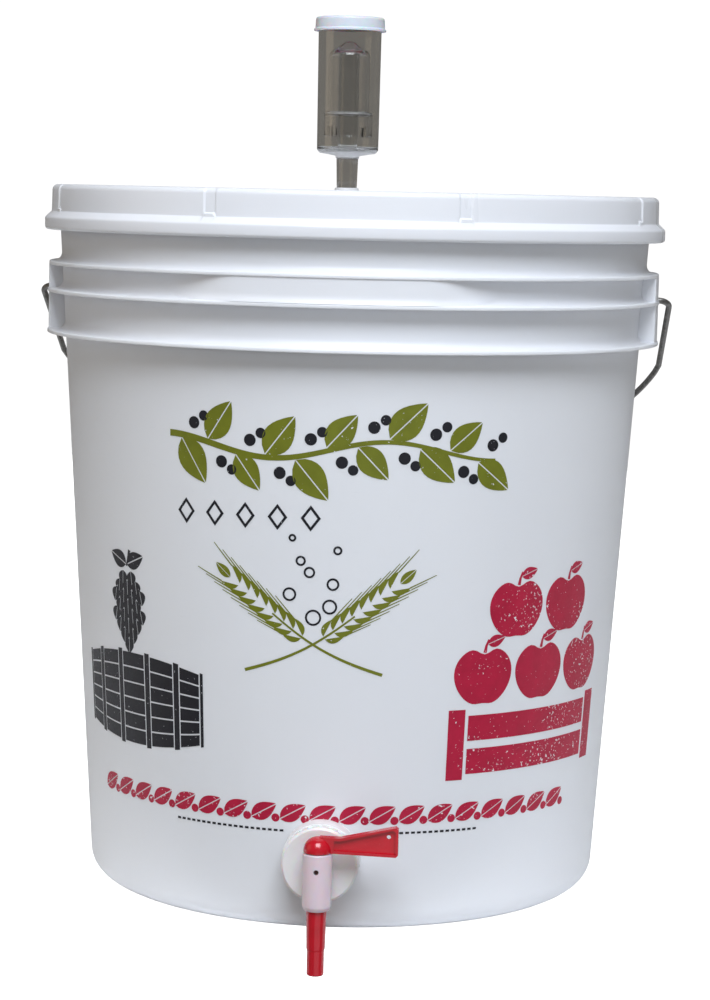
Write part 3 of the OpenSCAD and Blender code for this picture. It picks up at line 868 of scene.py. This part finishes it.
def leaf(x, y, length, width, angle, gap=0.35):
    """A pointed leaf as its two halves, left and right of the midrib."""
    return [turned(half_leaf(length, width, side, gap), x, y, angle) for side in (1, -1)]


def disc(x, y, radius, count=20):
    """A filled circle."""
    return [[(x + radius * math.cos(2 * math.pi * i / count),
              y + radius * math.sin(2 * math.pi * i / count)) for i in range(count)]]


def ring_shape(x, y, radius, stroke):
    """A ring as two half rings that meet."""
    halves = []
    for start in (0, 180):
        outer, inner = [], []
        for i in range(13):
            a = math.radians(start + 15 * i)
            outer.append((x + radius * math.cos(a), y + radius * math.sin(a)))
            inner.append((x + (radius - stroke) * math.cos(a), y + (radius - stroke) * math.sin(a)))
        halves.append(outer + inner[::-1])
    return halves


def ribbon(path, width):
    """A stroke along a path, tapering towards its end."""
    left, right = [], []
    for i, point in enumerate(path):
        before = path[max(i - 1, 0)]
        after = path[min(i + 1, len(path) - 1)]
        across = Vector((before[1] - after[1], after[0] - before[0])).normalized()
        half = width / 2 * (1 - 0.5 * i / (len(path) - 1))
        left.append((point[0] + across.x * half, point[1] + across.y * half))
        right.append((point[0] - across.x * half, point[1] - across.y * half))
    return [left + right[::-1]]


def box_shape(x0, y0, x1, y1):
    """A rectangle from its two corners."""
    return [[(x0, y0), (x1, y0), (x1, y1), (x0, y1)]]


def vine():
    """A long waving stem, with leaves by turns above and below it."""
    def height(u):
        return 5 * math.sin(u / 92 * math.pi * 1.5)
    shapes = ribbon([(u, height(u)) for u in range(-92, 93, 4)], 3.6)
    berries = []
    for i in range(11):
        u = -84 + i * 16.6
        up = 1 if i % 2 else -1
        size = 25 + 2.5 * math.cos(i * 1.7)
        shapes += leaf(u, height(u) + 1.8 * up, size, size * 0.6, up * (58 - 2 * i))
        for k in (0, 1):
            berries += disc(u + 8 + 6 * k, height(u + 8) - up * (8 + 4 * k), 3.3 - 0.5 * k)
    return shapes, berries


def barley(x, y, angle):
    """An ear of barley on a curved stem."""
    grains, first, pitch = 8, 14, 6.2

    def along(t):
        return (t, 9 * math.sin(t / 75 * math.pi / 2) ** 2)
    local = ribbon([along(-34 + 4 * i) for i in range(18)], 1.8)
    for i in range(grains):
        u, v = along(first + pitch * i)
        for side in (1, -1):
            place = (u, v + side * 0.8)
            grain = leaf(*place, 10.5, 6, 9 + side * 27, 0)
            local.append(grain[0] if side > 0 else grain[1])
            root = turned([(10, 0)], *place, 9 + side * 27)[0]
            local += ribbon([root, turned([(16, 0)], *root, 9 + side * 12)[0]], 0.7)
    local += leaf(*along(first + pitch * grains), 11, 5, 14, 0.2)
    return [turned(shape, x, y, angle) for shape in local]


def mirrored_shapes(shapes):
    """The same shapes, flipped left to right."""
    return [[(-u, v) for u, v in reversed(shape)] for shape in shapes]


def bubbles():
    """Rings that rise and shrink."""
    shapes = []
    for i in range(8):
        u = 13 * math.sin(i * 2.4)
        shapes += ring_shape(u, -14 + i * 6.1, 4.4 - 0.33 * i, 1.1)
    return shapes


def hop_cone():
    """A hop cone of pointed scales under two leaves."""
    shapes = ribbon([(3, 27), (1.5, 22), (0, 18)], 2)
    shapes += leaf(0.5, 19, 15, 9, 22) + leaf(-0.5, 19, 15, 9, 158)
    for row, count in enumerate((2, 3, 4, 3, 4, 3, 2, 1)):
        for i in range(count):
            spread = i - (count - 1) / 2
            x = spread * 7.2
            y = 15 - 5.4 * row + 0.35 * spread * spread
            shapes += leaf(x, y, 8.2, 7.4, -90 + spread * 9, 0.25)
    return shapes


def barrel():
    """A cask on its side: curved staves between hoops."""
    half, tall, staves = 52, 26, 6
    hoop_half, hoop_over = 1.8, 1.04
    gap_u, gap_v = 0.8, 0.45

    def edge(u, share):
        return share * (tall - 6.5 * (u / half) ** 2)
    shapes = []
    hoops = (-half, -34, -12, 12, 34, half)
    for hoop in hoops:
        u0 = max(hoop - hoop_half, -half)
        u1 = min(hoop + hoop_half, half)
        shapes.append([(u0, edge(u0, -hoop_over)), (u1, edge(u1, -hoop_over)),
                       (u1, edge(u1, hoop_over)), (u0, edge(u0, hoop_over))])
    for left, right in zip(hoops, hoops[1:]):
        u0 = left + hoop_half + gap_u
        u1 = right - hoop_half - gap_u
        steps = [u0 + (u1 - u0) * i / 6 for i in range(7)]
        for i in range(staves):
            low = -1 + 2 * i / staves
            high = low + 2 / staves
            shapes.append([(u, edge(u, low) + gap_v) for u in steps]
                          + [(u, edge(u, high) - gap_v) for u in reversed(steps)])
    return shapes


def apple(x, y, size):
    """An apple with its stalk and a leaf."""
    body = []
    for i in range(48):
        t = 2 * math.pi * i / 48
        u = size * math.sin(t) * (1 + 0.1 * math.cos(t))
        v = size * 0.93 * math.cos(t)
        v -= 0.26 * size * math.exp(-(u / (0.3 * size)) ** 2) if v > 0 else 0
        v += 0.1 * size * math.exp(-(u / (0.28 * size)) ** 2) if v < 0 else 0
        body.append((x + u, y + v))
    stalk = ribbon([(x, y + 0.72 * size), (x + 0.6, y + 0.92 * size), (x + 2, y + 1.12 * size)], 2)
    return [body] + stalk + leaf(x + 1.8, y + 0.98 * size, 0.62 * size, 0.34 * size, 18, 0.25)


def orchard():
    """A slatted crate with a heap of apples."""
    shapes = []
    for i in range(2):
        y0 = -49 + 18.5 * i
        shapes += box_shape(-47, y0, 47, y0 + 14)
    for side in (-1, 1):
        x0, x1 = sorted((side * 49, side * 59))
        shapes += box_shape(x0, -52, x1, -13)
    size, apart = 18, 39
    for i in range(3):
        shapes += apple((i - 1) * apart, 5, size)
    for i in range(2):
        shapes += apple((i - 0.5) * apart, 41, size)
    return shapes


def border():
    """A row of leaves and dots."""
    shapes = []
    for i in range(-9, 10):
        u = 16.2 * i
        shapes += leaf(u - 7, -4, 16, 9, 30, 0.3)
        shapes += disc(u + 6.6, -3.6, 2.3, 14)
    return shapes


def diamonds():
    """A row of outlined diamonds."""
    shapes = []
    for i in range(-2, 3):
        u = 18 * i
        for side in (-1, 1):
            shapes.append([(u, 7), (u, 4.8), (u + side * 3.6, 0),
                           (u, -4.8), (u, -7), (u + side * 5.4, 0)])
    return shapes


def print_on_wall(name, shapes, turn, height, ink):
    """A thin closed skin of ink on the pail's outer wall, centred at an angle from the tap."""
    reference = wall_r(height)
    work = bmesh.new()
    for shape in shapes:
        work.faces.new([work.verts.new((u, v, 0)) for u, v in shape])
    bmesh.ops.triangulate(work, faces=work.faces)
    low = min(v.co.x for v in work.verts)
    high = max(v.co.x for v in work.verts)
    step = 3.5
    for i in range(1, int((high - low) / step) + 1):
        bmesh.ops.bisect_plane(work, geom=work.verts[:] + work.edges[:] + work.faces[:], dist=1e-4,
                               plane_co=(low + i * step, 0, 0), plane_no=(1, 0, 0))
    bmesh.ops.recalc_face_normals(work, faces=work.faces)
    top = bmesh.ops.extrude_face_region(work, geom=work.faces[:])
    raised = {v for v in top["geom"] if isinstance(v, bmesh.types.BMVert)}
    for v in work.verts:
        angle = math.radians(turn) + v.co.x / reference
        z = height + v.co.y
        r = wall_r(z) + (INK_LIFT if v in raised else -INK_SINK)
        v.co = Vector((r * math.sin(angle), -r * math.cos(angle), z)) * MM
    bmesh.ops.recalc_face_normals(work, faces=work.faces)
    mesh = bpy.data.meshes.new(name)
    work.to_mesh(mesh)
    work.free()
    smooth_mesh(mesh)
    made = new_object(name, mesh)
    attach(made, "pail")
    paint(made, ink)


def make_prints():
    """Each print takes its degrees from the tap towards +X, and its height in millimetres."""
    olive = screen_ink("ink_olive", (0.17, 0.19, 0.012))
    charcoal = screen_ink("ink_charcoal", (0.012, 0.012, 0.018))
    crimson = screen_ink("ink_crimson", (0.46, 0.008, 0.045), 1.0)
    stems, berries = vine()
    print_on_wall("print_vine", stems, 0, 264, olive)
    print_on_wall("print_berries", berries, 0, 264, charcoal)
    print_on_wall("print_diamonds", diamonds(), -16, 227.5, charcoal)
    ears = barley(-6, -20, 28)
    print_on_wall("print_ears", ears + mirrored_shapes(ears), -2.5, 176, olive)
    print_on_wall("print_bubbles", bubbles(), -2.5, 188, charcoal)
    print_on_wall("print_hop", hop_cone(), -46, 174, charcoal)
    print_on_wall("print_cask", barrel(), -45, 118, charcoal)
    print_on_wall("print_orchard", orchard(), 47, 136, crimson)
    print_on_wall("print_border", border(), 0, 66.5, crimson)
    ticks = []
    pitch, length, half = 3.3, 2.1, 0.6
    for i in range(20):
        for start in (-86, 22):
            u = start + pitch * i
            ticks += box_shape(u, -half, u + length, half)
    print_on_wall("print_ticks", ticks, 0, 56, charcoal)


# ---- Stage, light and camera ----

def make_stage():
    """A white table whose edge stops behind the spout, which hangs lower than the pail."""
    edge_y, radius, far, wide, deep = -0.156, 0.006, 2.4, 3.0, 1.2
    outline = [(far, 0), (far, -deep), (edge_y, -deep)]
    for i in range(7):
        turn = math.radians(180 - 15 * i)
        out, up = radius * math.cos(turn), radius * math.sin(turn)
        outline.append((edge_y + radius + out, -radius + up))
    verts = [(-wide, y, z) for y, z in outline] + [(wide, y, z) for y, z in outline]
    count = len(outline)
    faces = [[i, (i + 1) % count, count + (i + 1) % count, count + i] for i in range(count)]
    faces += [list(range(count))[::-1], list(range(count, 2 * count))]
    mesh = bpy.data.meshes.new("table")
    mesh.from_pydata(verts, [], faces)
    smooth_mesh(mesh, 40)
    table = new_object("table", mesh)
    s = Shader("table_white")
    s.feed("Base Color", s.mix(s.grey(s.noise(3, 2), 0, 1), (0.9, 0.9, 0.9), (0.88, 0.88, 0.88)))
    s.set(Roughness=0.9)
    s.bsdf.inputs["Emission Color"].default_value = (1, 1, 1, 1)
    path = s.tree.nodes.new("ShaderNodeLightPath")
    s.feed("Emission Strength", s.grey(path.outputs["Is Camera Ray"], 0, 1.3, 0, 1))
    paint(table, s.material)


def make_world():
    """White to the eye, and a dim warm room for light and reflections."""
    world = bpy.data.worlds.new("studio")
    bpy.context.scene.world = world
    world.use_nodes = True
    tree = world.node_tree
    room = tree.nodes["Background"]
    room.inputs["Color"].default_value = (1.0, 0.95, 0.88, 1)
    room.inputs["Strength"].default_value = 0.17
    white = tree.nodes.new("ShaderNodeBackground")
    white.inputs["Strength"].default_value = 1.05
    white.inputs["Color"].default_value = (1, 1, 1, 1)
    path = tree.nodes.new("ShaderNodeLightPath")
    mix = tree.nodes.new("ShaderNodeMixShader")
    tree.links.new(path.outputs["Is Camera Ray"], mix.inputs["Fac"])
    tree.links.new(room.outputs["Background"], mix.inputs[1])
    tree.links.new(white.outputs["Background"], mix.inputs[2])
    tree.links.new(mix.outputs["Shader"], tree.nodes["World Output"].inputs["Surface"])


def area_light(name, azimuth, elevation, distance, size, power, colour, mirrored=True):
    """A soft box that looks at the pail's middle. Azimuth runs from -Y towards +X.

    A light that isn't mirrored leaves no highlight, and isn't seen through clear plastic.
    """
    target = Vector((0, 0, 0.22))
    a, e = math.radians(azimuth), math.radians(elevation)
    away = Vector((math.sin(a) * math.cos(e), -math.cos(a) * math.cos(e), math.sin(e)))
    light = bpy.data.lights.new(name, "AREA")
    light.shape = "RECTANGLE"
    light.size, light.size_y = size
    light.energy = power
    light.color = colour
    made = new_object(name, light)
    made.visible_glossy = made.visible_transmission = mirrored
    made.location = target + away * distance
    made.rotation_euler = away.to_track_quat("Z", "Y").to_euler()


def make_lights():
    """One big key from above, and weak fills from the left, the front and the table."""
    area_light("key", 9, 51, 3.6, (2.2, 2.0), 148, (0.88, 0.93, 1.0))
    area_light("fill_left", -75, 15, 2.6, (1.6, 1.8), 5.5, (1.0, 0.8, 0.55))
    area_light("fill_front", 14, 6, 3.2, (2.4, 1.0), 12.5, (0.9, 0.95, 1.0), False)
    area_light("bounce", 20, -25, 1.6, (1.6, 0.6), 1.8, (0.9, 0.95, 1.0))


def make_camera():
    """The photo's viewpoint: almost level with the lid, a little to the tap's right."""
    position = Vector((0.1074, -1.5626, 0.3985))
    ahead = Vector((-0.0659, 0.9913, -0.1135)).normalized()
    roll = math.radians(1.32)
    right = ahead.cross(Vector((0, 0, 1))).normalized()
    up = right.cross(ahead)
    tilted_right = right * math.cos(roll) + up * math.sin(roll)
    tilted_up = up * math.cos(roll) - right * math.sin(roll)
    camera = bpy.data.cameras.new("camera")
    camera.sensor_width = 36
    camera.lens = 96.58
    made = new_object("camera", camera)
    turn = Matrix((tilted_right, tilted_up, -ahead)).transposed()
    made.matrix_world = Matrix.Translation(position) @ turn.to_4x4()
    bpy.context.scene.camera = made
    bpy.context.scene.view_settings.view_transform = "Standard"


make_pail()
make_lid()
make_airlock()
make_bail()
make_tap()
make_prints()
make_stage()
make_world()
make_lights()
make_camera()
